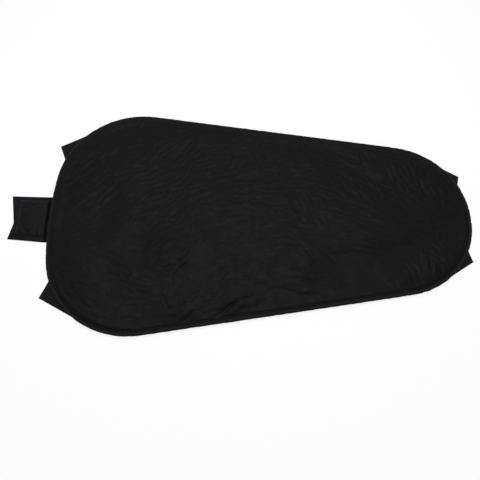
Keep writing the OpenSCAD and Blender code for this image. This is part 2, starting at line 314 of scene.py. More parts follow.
class Paint:
    """A node material, built up from short calls. It is placed by the uv, or by the place in the model."""

    def __init__(self, name, roughness, specular=0.5, sheen=0.0, sheen_roughness=0.5, metallic=0.0, by="UV"):
        self.material = bpy.data.materials.new(name)
        self.material.use_nodes = True
        self.tree = self.material.node_tree
        self.shader = next(n for n in self.tree.nodes if n.type == "BSDF_PRINCIPLED")
        self.shader.inputs["Roughness"].default_value = roughness
        self.shader.inputs["Specular IOR Level"].default_value = specular
        self.shader.inputs["Sheen Weight"].default_value = sheen
        self.shader.inputs["Sheen Roughness"].default_value = sheen_roughness
        self.shader.inputs["Metallic"].default_value = metallic
        self.flat = self.add("ShaderNodeTexCoord").outputs[by]

    def add(self, kind, inputs=(), **settings):
        return add_node(self.tree, kind, inputs, **settings)

    def math(self, operation, a, b=0.0, c=0.0):
        return add_math(self.tree, operation, a, b, c)

    def along(self, axis, vector=None):
        """How far along one axis a place is."""
        return self.add("ShaderNodeSeparateXYZ", {"Vector": vector or self.flat}).outputs[axis]

    def stretched(self, across_mm, along_mm, angle=0.0):
        """Places in units of the given lengths, turned by an angle."""
        scale = (1 / (across_mm * MM), 1 / (along_mm * MM), 1)
        turned = self.add("ShaderNodeMapping", {"Vector": self.flat, "Rotation": (0, 0, angle)})
        return self.add("ShaderNodeMapping", {"Vector": turned.outputs[0], "Scale": scale}).outputs[0]

    def noise(self, size_mm, detail=3.0, warp=0.0, vector=None):
        where = vector or self.stretched(size_mm, size_mm)
        inputs = {"Vector": where, "Scale": 1.0, "Detail": detail, "Distortion": warp}
        return self.add("ShaderNodeTexNoise", inputs).outputs["Fac"]

    def ramp(self, value, low, high, out_low=0.0, out_high=1.0):
        inputs = {"Value": value, "From Min": low, "From Max": high, "To Min": out_low, "To Max": out_high}
        return self.add("ShaderNodeMapRange", inputs, clamp=True).outputs[0]

    def blended(self, a, share, b):
        """A share of a, and the rest of b."""
        return self.math("MULTIPLY_ADD", a, share, self.math("MULTIPLY", b, 1 - share))

    def wave(self, pitch_mm, axis):
        """A sine wave along one axis, from -1 to 1."""
        turns = self.math("MULTIPLY", self.along(axis), 2 * math.pi / (pitch_mm * MM))
        return self.math("SINE", turns)

    def lifted(self, wave):
        """A wave from -1 to 1 as a height from 0 to 1."""
        return self.math("MULTIPLY_ADD", wave, 0.5, 0.5)

    def ribs(self, pitch_mm, axis):
        return self.lifted(self.wave(pitch_mm, axis))

    def weave(self, pitch_mm):
        """Plain weave: over and under take turns along both threads."""
        return self.lifted(self.math("MULTIPLY", *(self.wave(2 * pitch_mm, axis) for axis in "XY")))

    def colours(self, factor, dark, light):
        """A mix of two colours, each a set of three numbers or the output of a node."""
        dark, light = (c if isinstance(c, bpy.types.NodeSocket) else (*c, 1) for c in (dark, light))
        return self.add("ShaderNodeMix", {0: factor, 6: dark, 7: light}, data_type="RGBA").outputs[2]

    def base(self, colour):
        self.tree.links.new(colour, self.shader.inputs["Base Color"])

    def mottled(self, value, dark, light, low=0.3, high=0.7):
        """The base colour goes from dark to light as a value goes from low to high."""
        self.base(self.colours(self.ramp(value, low, high), dark, light))

    def rough(self, value):
        self.tree.links.new(value, self.shader.inputs["Roughness"])

    def rough_with(self, cloudy, least, most):
        """The roughness goes from least to most with some noise."""
        self.rough(self.ramp(cloudy, 0.3, 0.7, least, most))

    def bumps(self, *layers):
        """Each layer is (height from 0 to 1, relief in mm, strength)."""
        normal = None
        for height, relief_mm, strength in layers:
            inputs = {"Height": height, "Distance": relief_mm * MM, "Strength": strength}
            if normal:
                inputs["Normal"] = normal
            normal = self.add("ShaderNodeBump", inputs).outputs[0]
        self.tree.links.new(normal, self.shader.inputs["Normal"])
        return self.material


def grey(level, tint=0.0):
    """A linear grey, with a little blue when tint is above 0."""
    return level, level, level * (1 + tint)


NYLON_GLOSS = 0.0808
# Width in mm over which the strip of painted shade fades in and out
SHADE_STRIP_FADE = 1.5


def nylon_paint(name, level, thread_mm=0.45, crinkle=0.5, roughness=0.55, shade_strip=None):
    """Thin black nylon: plain weave, small creases, faded and darker places, and maybe a strip of painted
    shade.
    """
    paint = Paint(name, roughness, specular=NYLON_GLOSS, sheen=0.02, sheen_roughness=0.35)
    broad = paint.noise(130, 2)
    cloudy = paint.noise(18, 4, 0.6)
    shade = paint.ramp(paint.blended(cloudy, 0.25, broad), 0.3, 0.7)
    cloth = paint.colours(shade, grey(level * 0.85, 0.1), grey(level * 1.18, 0.2))
    dull = paint.ramp(cloudy, 0.3, 0.7, roughness - 0.06, roughness + 0.08)
    if shade_strip:
        along = paint.along("X")
        begun = paint.ramp(along, (shade_strip[0] - SHADE_STRIP_FADE) * MM, shade_strip[0] * MM)
        going = paint.ramp(along, shade_strip[1] * MM, (shade_strip[1] + SHADE_STRIP_FADE) * MM, 1.0, 0.0)
        inside = paint.math("MULTIPLY", begun, going)
        # Painted shade: inside the strip the cloth is half as bright and fully rough, standing in for the
        # shade of a gap
        cloth = paint.colours(inside, cloth, grey(level * 0.5))
        dull = paint.math("MAXIMUM", dull, inside)
    paint.base(cloth)
    paint.rough(dull)
    fine = paint.noise(5, 3, 1.2, paint.stretched(7, 4, math.radians(25)))
    return paint.bumps((fine, 0.25, crinkle), (paint.weave(thread_mm), 0.06, 0.35))


def lining_paint():
    """Knitted lining: fine wales and courses with a soft nap."""
    paint = Paint("knit_lining", 0.75, specular=0.114, sheen=0.25, sheen_roughness=0.5)
    paint.mottled(paint.noise(60, 4, 0.3), grey(0.011), grey(0.018))
    knit = paint.math("MULTIPLY", paint.ribs(1.1, "X"), paint.ribs(0.8, "Y"))
    return paint.bumps((paint.noise(6, 4), 0.2, 0.4), (knit, 0.12, 0.5))


def tape_paint():
    """Binding tape rolled round the cord: ribs across the tape, worn paler where it rubs."""
    paint = Paint("binding_tape", 0.6, specular=0.0665, sheen=0.03, sheen_roughness=0.4)
    cloudy = paint.noise(9, 5, 0.5)
    worn = paint.math("MULTIPLY", paint.ramp(paint.noise(14, 6), 0.52, 0.72), 0.6)
    shade = paint.math("MULTIPLY_ADD", cloudy, 0.5, worn)
    paint.mottled(shade, grey(0.008), grey(0.0138, 0.08), 0.2, 0.9)
    paint.rough_with(cloudy, 0.48, 0.64)
    ribbed = paint.blended(paint.ribs(0.9, "X"), 0.7, paint.weave(0.45))
    return paint.bumps((paint.noise(4, 4, 0.8), 0.2, 0.4), (ribbed, 0.12, 0.5))


def webbing_paint():
    """Nylon webbing: heavy ribs across, warp lines along, paler fuzz where it rubs."""
    paint = Paint("webbing", 0.65, specular=0.076, sheen=0.02, sheen_roughness=0.45)
    cloudy = paint.noise(7, 5, 0.4)
    fuzz = paint.ramp(paint.noise(3, 6), 0.55, 0.75, 0.0, 0.5)
    shade = paint.math("MULTIPLY_ADD", cloudy, 0.6, fuzz)
    paint.base(paint.colours(shade, grey(0.005), grey(0.010, 0.04)))
    paint.rough_with(cloudy, 0.52, 0.7)
    rib = paint.blended(paint.ribs(1.5, "X"), 0.75, paint.ribs(0.7, "Y"))
    return paint.bumps((cloudy, 0.2, 0.3), (rib, 0.3, 0.6))


def thread_paint():
    """Bonded sewing thread: two plies twisted along it."""
    paint = Paint("sewing_thread", 0.5, specular=0.15, sheen=0.03)
    paint.base(paint.colours(paint.noise(3, 3), grey(0.004), grey(0.009)))
    slanted = paint.along("X", paint.stretched(0.5, 0.5, math.radians(40)))
    twist = paint.math("SINE", paint.math("MULTIPLY", slanted, 2 * math.pi))
    return paint.bumps((paint.lifted(twist), 0.12, 0.7))


def foam_paint(name, level, cell_mm):
    """Closed-cell foam: small pits and a mottled cut face."""
    paint = Paint(name, 0.85, specular=0.2, by="Object")
    pits = paint.add("ShaderNodeTexVoronoi", {"Vector": paint.flat, "Scale": 1 / (cell_mm * MM)})
    paint.mottled(paint.noise(12, 4), grey(level * 0.75), grey(level * 1.3))
    return paint.bumps((pits.outputs["Distance"], 0.3, 0.6), (paint.noise(2, 3), 0.1, 0.3))


def cord_paint():
    """Braided cover of the shock cord, with a pale fleck."""
    paint = Paint("braided_cord", 0.6, specular=0.3, sheen=0.2, by="Object")
    braid = paint.math("MULTIPLY", paint.ribs(1.2, "X"), paint.ribs(1.2, "Y"))
    paint.mottled(paint.noise(1.6, 2), grey(0.015), grey(0.12), 0.6, 0.64)
    return paint.bumps((braid, 0.25, 0.7), (paint.noise(0.8, 3), 0.1, 0.4))


def metal_paint():
    """Crimped brass ferrule with drawn scratches and dull patches."""
    paint = Paint("ferrule_metal", 0.35, metallic=1.0, by="Object")
    dull = paint.noise(4, 5)
    scratch = paint.noise(1, 4, 0.2, paint.stretched(0.4, 8))
    paint.mottled(dull, (0.50, 0.48, 0.44), (0.66, 0.64, 0.60), 0.35, 0.7)
    paint.rough_with(dull, 0.25, 0.5)
    return paint.bumps((scratch, 0.05, 0.5))


NYLON = nylon_paint("nylon_face", 0.0036)
LINING = lining_paint()
TAPE = tape_paint()
WEBBING = webbing_paint()
THREAD = thread_paint()
PATCH = nylon_paint("patch_cloth", 0.010, thread_mm=0.7, crinkle=0.35, roughness=0.6)
NEOPRENE = foam_paint("neoprene", 0.05, 0.6)


# ---- relief of the deck ----

# How the crinkles run, as (x and y in mm from the cover's middle, direction in degrees from +X, strength)
CRINKLE_FLOW = [
    (-340, 80, 34, 1.2), (-340, -30, 12, 0.8), (-250, 150, 40, 0.9), (-250, 20, 22, 0.9),
    (-250, -120, -30, 0.6), (-190, 80, 36, 1.3), (-170, -190, 10, 0.9), (-120, 70, 34, 1.3),
    (-130, -20, 28, 1.4), (-100, -130, 45, 1.5), (-60, 150, 52, 0.8), (-40, -190, 40, 1.3),
    (-20, -70, 20, 1.4), (10, 30, -8, 0.8), (40, 150, 50, 1.1), (70, -60, -33, 1.3),
    (20, -160, 24, 1.1), (80, -150, -8, 0.9), (130, 30, -20, 0.9), (140, 140, 45, 1.0),
    (150, -100, -26, 0.9), (220, 70, -28, 0.9), (230, -30, -20, 1.0), (240, -120, -14, 0.6),
    (310, 100, -50, 1.0), (310, 10, -20, 0.9), (320, -60, -4, 0.6), (380, 90, -60, 1.0),
    (390, -100, -82, 1.1), (440, 0, -6, 1.2),
]
FLOW_REACH = 55.0


def flow(x, y):
    """Direction of the crinkles at a place, in radians, and their strength."""
    shares = [bell(np.hypot(x - a, y - b), FLOW_REACH) + 1e-9 for a, b, _, _ in CRINKLE_FLOW]
    turned = [2 * math.radians(angle) for _, _, angle, _ in CRINKLE_FLOW]
    across = sum(w * math.sin(t) for w, t in zip(shares, turned))
    along = sum(w * math.cos(t) for w, t in zip(shares, turned))
    strength = sum(w * row[3] for w, row in zip(shares, CRINKLE_FLOW)) / sum(shares)
    return 0.5 * np.arctan2(across, along), strength


class Relief:
    """Heights over the deck on an even raster. It is filled with short waves, each cut off at its reach."""

    step = 1.5
    reach = 2.6

    def __init__(self):
        self.low, high = np.array([deck_x, deck_y]).T
        self.shape = tuple(np.ceil((high - self.low) / self.step).astype(int) + 1)
        self.height = np.zeros(self.shape)

    def add_wave(self, centre, angle, wavelength, along, across, height, phase):
        reach = self.reach * max(along, across)
        first = np.maximum(((centre - reach - self.low) / self.step).astype(int), 0)
        last = np.minimum(((centre + reach - self.low) / self.step).astype(int) + 1, self.shape)
        if (last <= first).any():
            return
        x = self.low[0] + np.arange(first[0], last[0])[:, None] * self.step - centre[0]
        y = self.low[1] + np.arange(first[1], last[1])[None, :] * self.step - centre[1]
        u = x * math.cos(angle) + y * math.sin(angle)
        v = y * math.cos(angle) - x * math.sin(angle)
        wave = bell(u, along) * bell(v, across) * np.cos(2 * np.pi * v / wavelength + phase)
        self.height[first[0]:last[0], first[1]:last[1]] += height * wave

    def at(self, flat):
        """Heights at points in the plane, between the raster's own."""
        place = (flat - self.low) / self.step
        cell = np.clip(place.astype(int), 0, np.array(self.shape) - 2)
        u, v = np.clip(place - cell, 0, 1).T
        i, j = cell.T
        h = self.height
        low = h[i, j] * (1 - u) + h[i + 1, j] * u
        high = h[i, j + 1] * (1 - u) + h[i + 1, j + 1] * u
        return low * (1 - v) + high * v


def crinkles(count, wavelengths, lengths, height, seed, spread_deg):
    """Relief of many crinkles that follow the flow, with ranges for their wavelength and their length."""
    draw = np.random.default_rng(seed)
    relief = Relief()
    x = draw.uniform(*deck_x, count)
    y = draw.uniform(*deck_y, count)
    angles, strengths = flow(x, y)
    angles = angles + np.radians(draw.normal(0, spread_deg, count))
    for centre, angle, strength in zip(np.column_stack([x, y]), angles, strengths):
        wavelength, length = draw.uniform(*wavelengths), draw.uniform(*lengths)
        relief.add_wave(centre, angle, wavelength, length, wavelength * draw.uniform(0.4, 0.7),
                        height * strength * draw.uniform(0.4, 1.3), draw.uniform(0, 2 * np.pi))
    return relief


fine_crinkles = crinkles(4200, (9, 15), (5, 13), 0.38, SEED, spread_deg=24)
sharp_crinkles = crinkles(1300, (22, 36), (8, 20), 0.65, SEED + 4, spread_deg=20)
long_crinkles = crinkles(500, (24, 40), (14, 30), 0.40, SEED + 1, spread_deg=25)
swells = crinkles(110, (90, 200), (50, 110), 1.3, SEED + 2, spread_deg=60)

# Folds that stand out, as ([points in mm from the cover's middle], half width, height), below 0 for a valley
FOLDS = [
    ([(-63, -231), (-29, -206), (2, -180)], 3.0, -4.6),
    ([(-66, -218), (-38, -199), (-12, -177)], 3.2, 0.9),
    ([(-41, -229), (-16, -210), (11, -188)], 3.2, 0.9),
    ([(-112, -232), (-99, -217), (-89, -205)], 2.6, -2.9),
    ([(-115, -221), (-106, -211), (-99, -201)], 2.8, 0.7),
    ([(363, 145), (372, 118), (381, 94)], 2.8, -1.6),
    ([(357, 138), (366, 114), (374, 96)], 3.0, 0.5),
    ([(387, 96), (395, 70), (401, 46)], 2.8, -1.5),
    ([(426, 56), (430, 40), (434, 22)], 2.6, -1.1),
    ([(369, -84), (371, -132)], 2.6, -1.4),
    ([(380, -84), (381, -130)], 2.8, 0.6),
    ([(390, -80), (391, -130)], 2.6, -1.6),
    ([(401, -80), (401, -128)], 2.8, 0.6),
    ([(412, -74), (410, -126)], 2.4, -1.4),
    ([(-356, 124), (-336, 142), (-312, 160)], 3.2, 1.5),
    ([(-340, 144), (-336, 160), (-326, 172)], 2.8, 1.0),
    ([(-340, 38), (-312, 60), (-284, 82)], 3.2, 1.1),
    ([(-296, 28), (-276, 50), (-257, 74)], 3.0, 1.0),
    ([(-379, 74), (-350, 96), (-322, 114)], 3.2, 1.0),
    ([(-138, -144), (-124, -121), (-99, -103)], 3.0, -1.2),
    ([(-150, -184), (-142, -198), (-131, -209)], 2.8, -1.2),
    ([(-268, -222), (-240, -196), (-216, -167)], 3.0, -0.8),
]
DENT_CENTRE = (-238, -128)
DENT_RADIUS = 21.0
DENT_HEIGHT = 0.7
DENT_SIDE = 0.6


def distance_to(flat, a, b):
    """Distance of points from the line between a and b, and how far along it its nearest point is."""
    a, b = np.array(a, float), np.array(b, float)
    t = np.clip((flat - a) @ (b - a) / ((b - a) @ (b - a)), 0, 1)
    return np.hypot(*(flat - a - t[:, None] * (b - a)).T), t * np.hypot(*(b - a))


def fold_height(flat, folds):
    """Height of some folds, each a rounded valley or ridge that fades at its ends."""
    height = np.zeros(len(flat))
    for points, width, depth in folds:
        off, along = np.full(len(flat), 1e9), np.zeros(len(flat))
        start = 0.0
        for a, b in zip(points[:-1], points[1:]):
            distance, reached = distance_to(flat, a, b)
            closer = distance < off
            off[closer] = distance[closer]
            along[closer] = start + reached[closer]
            start += math.dist(a, b)
        ends = 0.35 + 0.65 * np.sin(np.pi * np.clip(along / start, 0, 1)) ** 0.7
        profile = (1 - 0.5 * (off / width) ** 2) * bell(off, width)
        height += depth * ends * profile
    return height


def dent_height(flat):
    """A round dent with a raised edge, higher on one side."""
    x, y = (flat - DENT_CENTRE).T
    facing = smoothstep(np.cos(np.arctan2(y, x) - DENT_SIDE), -0.2, 0.7)
    return DENT_HEIGHT * bell(np.hypot(x, y) - DENT_RADIUS, 3.5) * (0.3 + 0.7 * facing)


def gather_strength(s):
    """The cord draws the narrow end in the most."""
    middle = rim.at(s)[0][:, 0]
    return 0.35 + 0.65 * smoothstep(middle, 180, 420)


GATHER_PITCH = 11.0
GATHER_FULL = 18
GATHER_END = 75


def gathers(s, inset):
    """Height of the small pleats that the stretched rim makes in the deck's edge."""
    draw = np.random.default_rng(SEED + 3)
    places = jittered(GATHER_PITCH, 4, draw)
    height = np.zeros(len(s))
    edge = np.flatnonzero(inset < GATHER_END)
    s, inset = s[edge], inset[edge]
    sewn = smoothstep(inset, seam_inset - 1, seam_inset + 5)
    total = np.zeros(len(s))
    for place, strength in zip(places, gather_strength(places)):
        width, reach = draw.uniform(2.2, 4.2), draw.uniform(12, 26) * (0.6 + strength)
        size, slant = draw.uniform(-0.9, 0.5), draw.normal(0, 0.25)
        off = rim.apart(s, place) + slant * (inset - seam_inset)
        total += strength * size * bell(off, width) * sewn * bell(np.maximum(inset - GATHER_FULL, 0), reach)
    height[edge] = total
    return height


# Creases along the hem, as (distance in from the rim, first and last x, height)
HEM_CREASES = ((19.0, -420, -60, 0.35), (29.0, -400, -120, 0.3), (41.0, -360, -200, 0.2))
HEM_CREASE_FADE = 60


def hem_creases(flat, inset):
    """Faint creases parallel to the hem on the starboard side of the wide end."""
    x, y = flat.T
    height = np.zeros(len(flat))
    starboard = y < -40
    for distance, first, last, size in HEM_CREASES:
        begun = smoothstep(x, first, first + HEM_CREASE_FADE)
        going = 1 - smoothstep(x, last - HEM_CREASE_FADE, last)
        height += size * (begun * going) * starboard * bell(inset - distance, 2.4)
    return height


# The deck in mm: most height of a crinkle, rise of the whole face, rise at the seam, and roll beside a gutter
CREASE_LIMIT = 1.3
DECK_PUFF = 2.0
DECK_RISE = 1.2
DECK_ROLL = 2.6

# Its edge: drop of the outermost ring, and thickness of the two outer rings at most
EDGE_DROP = 0.25
EDGE_T = (0.35, 1.3)

# Its edge where it is rolled up over the tube: lift, lap, share of the lap for each ring, gap over the tape
EDGE_LIFT = 1.9
EDGE_LAP = 1.7
LAP_SHARES = (1.0, 0.7, 0.2)
LAP_GAP = 0.85

# Where the deck leaves a deep gutter along the rim, as (place, length along the rim, depth as a share)
GUTTERS = [((-325, -238), 75, 1.0), ((430, -120), 50, 0.85)]


def gutter(s):
    """0 where the deck rises straight from the seam, 1 where it leaves a deep gutter."""
    depth = np.zeros(len(s))
    for place, length, amount in GUTTERS:
        middle = rim.locate(np.array([place], float))[0][0]
        depth += amount * bell(rim.apart(s, middle), length)
    return np.minimum(depth, 1)


def edge_lift(s):
    """How far the edge is rolled up towards the top of the tube, at the port side and the wide end."""
    x, y = rim.at(s)[0].T
    return EDGE_LIFT * np.maximum(smoothstep(y, 10, 110), 0.6 * (1 - smoothstep(x, -405, -350)))


def deck_top(flat, s, inset):
    """Height of the deck's outer face above the ground."""
    def past_seam(first, last):
        return smoothstep(inset, seam_inset + first, seam_inset + last)

    free = past_seam(1, 22)
    creased = fine_crinkles.at(flat) + 0.25 - np.hypot(sharp_crinkles.at(flat), 0.05)
    creased = CREASE_LIMIT * np.tanh((creased + long_crinkles.at(flat)) / CREASE_LIMIT)
    loose = creased + swells.at(flat) + dent_height(flat)
    relief = free * (loose + hem_creases(flat, inset)) + gathers(s, inset) * (0.3 + 0.7 * free)
    relief += fold_height(flat, FOLDS) * past_seam(0.5, 9)
    rise = DECK_RISE * past_seam(-1.2, 4) + DECK_PUFF * past_seam(2, 45)
    rise += DECK_ROLL * gutter(s) * past_seam(-0.8, 5) * (1 - past_seam(10, 70))
    rise += edge_lift(s) * (1 - past_seam(4, 30))
    pulled = 0.3 * bell(inset - seam_inset, 1.2)
    return shell_high[2] - pulled + softly_above(relief + rise)


def softly_above(height, floor=0.05, softness=0.25):
    """Keeps a height above its floor, with a rounded approach."""
    return floor + softness * np.logaddexp(0, (height - floor) / softness)


# ---- the deck ----

# Rings of points on both sides of the seam, in mm in from it, and the size of the square cells
SEAM_RINGS = (-0.6, 0, 0.6, 1.5, 2.6, 4, 5.6, 7.4)
DECK_CELL = 2.4
LINING_CELL = 6.0


def even_cells(cell, least_inset):
    """An even lattice over the deck, and its cells whose corners all lie far enough in from the rim."""
    x, y = np.arange(*deck_x, cell), np.arange(*deck_y, cell)
    lattice = np.stack(np.meshgrid(x, y, indexing="ij"), -1).reshape(-1, 2)
    inside = rim.locate(lattice)[1] > least_inset
    cells = grid_quads(len(x), len(y))[0]
    return lattice, cells[inside[cells].all(1)]


def cell_places(flat, cell):
    """Which square of the lattice each point lies in, as (row, column)."""
    return map(tuple, np.floor((flat - (deck_x[0], deck_y[0])) / cell).astype(int).tolist())


def border_edges(cells):
    """The sides that only one cell has."""
    sides = np.concatenate([cells[:, [k, (k + 1) % 4]] for k in range(4)])
    _, place, uses = np.unique(np.sort(sides, 1), axis=0, return_index=True, return_counts=True)
    return sides[place[uses == 1]]


def triangles_between(flat, ring, border):
    """Triangles over everything inside the ring, that keep the ring's and the border's edges."""
    band = np.concatenate([ring, np.unique(border)])
    local = {int(v): k for k, v in enumerate(band)}
    edges = [(local[int(a)], local[int(b)]) for a, b in border]
    edges += [(k, (k + 1) % len(ring)) for k in range(len(ring))]
    out = delaunay_2d_cdt([Vector(p) for p in flat[band]], edges, [], 0, 1e-5)
    origin = np.array([o[0] for o in out[3]])
    return band[origin[np.array(out[2])]]


def flat_disc(rings, cell):
    """A flat mesh inside the rim: even rings along the edge, square cells inside, joined by triangles."""
    count = len(rim.s)
    faces = grid_quads(len(rings), count, wrap_columns=True)[0][:, ::-1].tolist()
    lattice, cells = even_cells(cell, rings[-1] + 0.6 * cell)
    used = np.unique(cells)
    renumber = np.zeros(len(lattice), int)
    renumber[used] = np.arange(len(used)) + count * len(rings)
    cells = renumber[cells]
    flat = np.concatenate([rim.at(rim.s, inset)[0] for inset in rings] + [lattice[used]])
    ring = np.arange(count) + count * (len(rings) - 1)
    triangles = triangles_between(flat, ring, border_edges(cells))
    middle = flat[triangles].mean(1)
    filled = set(cell_places(flat[cells].mean(1), cell))
    open_place = np.array([place not in filled for place in cell_places(middle, cell)])
    kept = open_place & (rim.locate(middle)[1] > rings[-1] + 1e-3)
    return flat, faces + cells.tolist() + triangles[kept].tolist(), np.arange(count)


def stretched_sheet(inset):
    """Works out the area inside the rim's outline, less an inset, and does nothing with it."""
    area = polygon_area(rim.at(rim.s, inset)[0])


def lap_edge(flat, top, thick):
    """Lays the outer rings of the deck over the shoulder of the tube where the edge is rolled up."""
    count = len(rim.s)
    share = edge_lift(rim.s) / EDGE_LIFT
    for ring, lap in enumerate(LAP_SHARES):
        flat[ring * count:(ring + 1) * count] += (lap * EDGE_LAP * share)[:, None] * rim.n
    off = tube_r - shell_inset + EDGE_LAP * share
    on_tube = tube_z + np.sqrt(np.maximum(tube_r**2 - off**2, 0)) + LAP_GAP
    top[:count] = np.maximum(top[:count], on_tube * (share > 0.5))
    thick[:count] = EDGE_T[0]
    thick[count:2 * count] = np.minimum(thick[count:2 * count], EDGE_T[1])


def deck_cover():
    rings = [shell_inset + 0.1, shell_inset + 0.9, *(seam_inset + step for step in SEAM_RINGS)]
    flat, faces, loop = flat_disc(rings, DECK_CELL)
    s, inset = rim.locate(flat)
    inset[:len(rings) * len(rim.s)] = np.repeat(rings, len(rim.s))
    top = deck_top(flat, s, inset)
    thick = shell_t - 0.2 * bell(inset - seam_inset, 1.5) + 0.9 * edge_lift(s) * (inset < seam_inset + 6)
    lap_edge(flat, top, thick)
    top[loop] -= EDGE_DROP
    piece = cover_cloth("deck_cover", NYLON, "deck_shell", "nylon_face", flat, faces, loop, top, top - thick)
    stretched_sheet(shell_inset)


def deck_lining():
    flat, faces, loop = flat_disc([core_inset, core_inset + 4, LIP_INSET - 3, LIP_INSET], LINING_CELL)
    draw = np.random.default_rng(SEED + 5)
    relief = Relief()
    for _ in range(500):
        centre = np.array([draw.uniform(*deck_x), draw.uniform(*deck_y)])
        relief.add_wave(centre, draw.uniform(0, np.pi), draw.uniform(35, 70), draw.uniform(20, 40),
                        draw.uniform(15, 25), 0.10, draw.uniform(0, 2 * np.pi))
    rise = softly_above(0.15 + relief.at(flat), 0.0, 0.1)
    top = np.full(len(rise), lining_high[2])
    piece = cover_cloth("deck_lining_cloth", LINING, "deck_lining", "nylon_lining",
                        flat, faces, loop, top, lining_low[2] + rise)
    stretched_sheet(core_inset)


# ---- the rim ----

TAPE_STEP = 1.6
WRINKLE_PITCH = 4.2


def arc(radius, first, last, count):
    """Section points on a circle round the tube's middle, as (inset, height)."""
    angles = np.radians(np.linspace(first, last, count))
    return [(tube_r + radius * math.cos(a), tube_z + radius * math.sin(a)) for a in angles]


def straight(a, b, count):
    """Section points from a up to b, without b itself."""
    return [tuple(p) for p in np.linspace(a, b, count + 1)[:-1]]


def tape_section():
    """Closed section of the tape: lower lip, tube, upper lip, and back along the inside."""
    lip_top = shell_low[2]
    lip_under = lip_top - tape_t
    inner_r = tube_r - tape_t
    out_end = math.degrees(math.asin((lip_top - tube_z) / tube_r))
    in_end = math.degrees(math.asin((lip_under - tube_z) / inner_r))
    outer = straight((LIP_INSET, casing_low[2]), (tube_r, casing_low[2]), 8)
    outer += arc(tube_r, 270, out_end, 30)
    inner = [(LIP_INSET, lip_top), (LIP_INSET, lip_under)]
    inner += arc(inner_r, in_end, 270, 12)
    inner += [(LIP_INSET, casing_low[2] + tape_t)]
    return np.array(outer), np.array(inner)


def tube_wrinkles(s, angle):
    """How far the tape stands off the tube: short gathers that wrap round it at a slant."""
    draw = np.random.default_rng(SEED + 8)
    places = jittered(WRINKLE_PITCH, 2, draw)
    strengths = 0.5 + 0.5 * gather_strength(places)
    height = np.zeros((len(s), len(angle)))
    for place, strength in zip(places, strengths):
        width, size = draw.uniform(1.3, 3.2), draw.uniform(-0.55, 0.42)
        slant, middle, reach = draw.normal(0, 1.0), draw.uniform(-0.9, 0.9), draw.uniform(0.5, 1.3)
        apart = rim.apart(s, place)
        near = np.abs(apart) < 4 * width + 4
        off = apart[near, None] + slant * angle
        height[near] += strength * size * bell(off, width) * bell(angle - middle, reach)
    return height


def rim_tape():
    outer, inner = tape_section()
    section = np.concatenate([outer, inner])
    count = round(rim.length / TAPE_STEP)
    s = np.arange(count) * rim.length / count
    spokes = outer - (tube_r, tube_z)
    size = np.hypot(*spokes.T)
    on_tube = smoothstep(-np.abs(size - tube_r), -1.2, -0.2)
    off = tube_wrinkles(s, np.arctan2(spokes[:, 1], -spokes[:, 0])) * on_tube
    direction = spokes / np.maximum(size, 1e-9)[:, None]
    seam_dip = 0.35 * bell(outer[:, 0] - seam_inset, 1.0) * (outer[:, 1] < tube_z)
    inset, height = (np.tile(part, (count, 1)) for part in section.T)
    inset[:, :len(outer)] += off * direction[:, 0]
    height[:, :len(outer)] += off * direction[:, 1] + seam_dip
    height = np.maximum(height, casing_low[2])
    flat = rim.at(np.repeat(s, len(section)), inset.ravel())[0]
    quads, rows, columns = grid_quads(count, len(section), wrap_rows=True, wrap_columns=True)
    around = lengths_round(section)
    uv = np.stack([rows * rim.length / count, around[columns]], -1).reshape(-1, 2)
    piece = make_piece("rim_tape", np.column_stack([flat, height.ravel()]), quads, uv, TAPE, "cover",
                       ["rim_casing"], "binding_tape")


# ---- stitches ----

def stitch_shape(sides=6, rings=7):
    """One stitch: it runs from -0.5 to 0.5 along x, is 1 wide, and arches up to 0.7 in the middle."""
    t = np.linspace(-1, 1, rings)
    fat = np.sqrt(np.clip(1 - np.abs(t) ** 3, 0.04, 1))
    a = np.arange(sides) / sides * 2 * np.pi
    x = np.repeat(t * 0.5, sides)
    y = (fat[:, None] * 0.5 * np.cos(a)).ravel()
    z = (0.5 * (1 - t[:, None] ** 4) * 0.8 + fat[:, None] * 0.3 * np.sin(a)).ravel()
    quads, rows, columns = grid_quads(rings, sides, wrap_columns=True)
    caps = [list(range(sides))[::-1], [sides * (rings - 1) + k for k in range(sides)]]
    return np.column_stack([x, y, z]), quads, rows, columns, caps


def stitches(name, middles, z, directions, up, size, body, stands_for=()):
    """Separate stitches at height z. size is what length, width and height are scaled by, up is +1 or -1."""
    shape, quads, rows, columns, caps = stitch_shape()
    length, width, height = size
    across = np.column_stack([-directions[:, 1], directions[:, 0]]) * up
    count = len(shape)
    local = np.tile(shape, (len(middles), 1))
    points = np.repeat(np.column_stack([middles, np.broadcast_to(z, len(middles))]), count, 0)
    points[:, :2] += local[:, :1] * length * np.repeat(directions, count, 0)
    points[:, :2] += local[:, 1:2] * width * np.repeat(across, count, 0)
    points[:, 2] += up * local[:, 2] * height
    starts = np.arange(len(middles)) * count
    faces = (quads[None] + starts[:, None, None]).reshape(-1, 4).tolist()
    end_faces = [[v + int(k) for v in cap] for k in starts for cap in caps]
    side_uv = np.stack([rows * length / 6, columns * width / 2], -1).reshape(-1, 2)
    end_uv = np.zeros((sum(map(len, end_faces)), 2))
    uv = np.concatenate([np.tile(side_uv, (len(middles), 1)), end_uv])
    make_piece(name, points, faces + end_faces, uv, THREAD, body, stands_for, "thread")


# Pitch and size of the stitches, and the height of those under the straps
STITCH_PITCH = 3.6
STITCH_SIZE = (3.1, THREAD_W, 0.45)
BOX_PITCH = 3.0
BOX_STITCH_SIZE = (2.6, THREAD_W, 0.42)
BOX_STITCH_Z = 0.47


def joined(rows):
    """Several rows of stitches as one, each as its middles and its directions."""
    return [np.concatenate(part) for part in zip(*rows)]


def straight_rows(lines):
    """Middles and directions of the stitches along some lines, each from one point to another."""
    rows = []
    for a, b in lines:
        size = np.hypot(*(b - a))
        count = max(1, round(size / BOX_PITCH))
        t = (np.arange(count) + 0.5) / count
        rows.append((a + t[:, None] * (b - a), np.tile((b - a) / size, (count, 1))))
    return joined(rows)


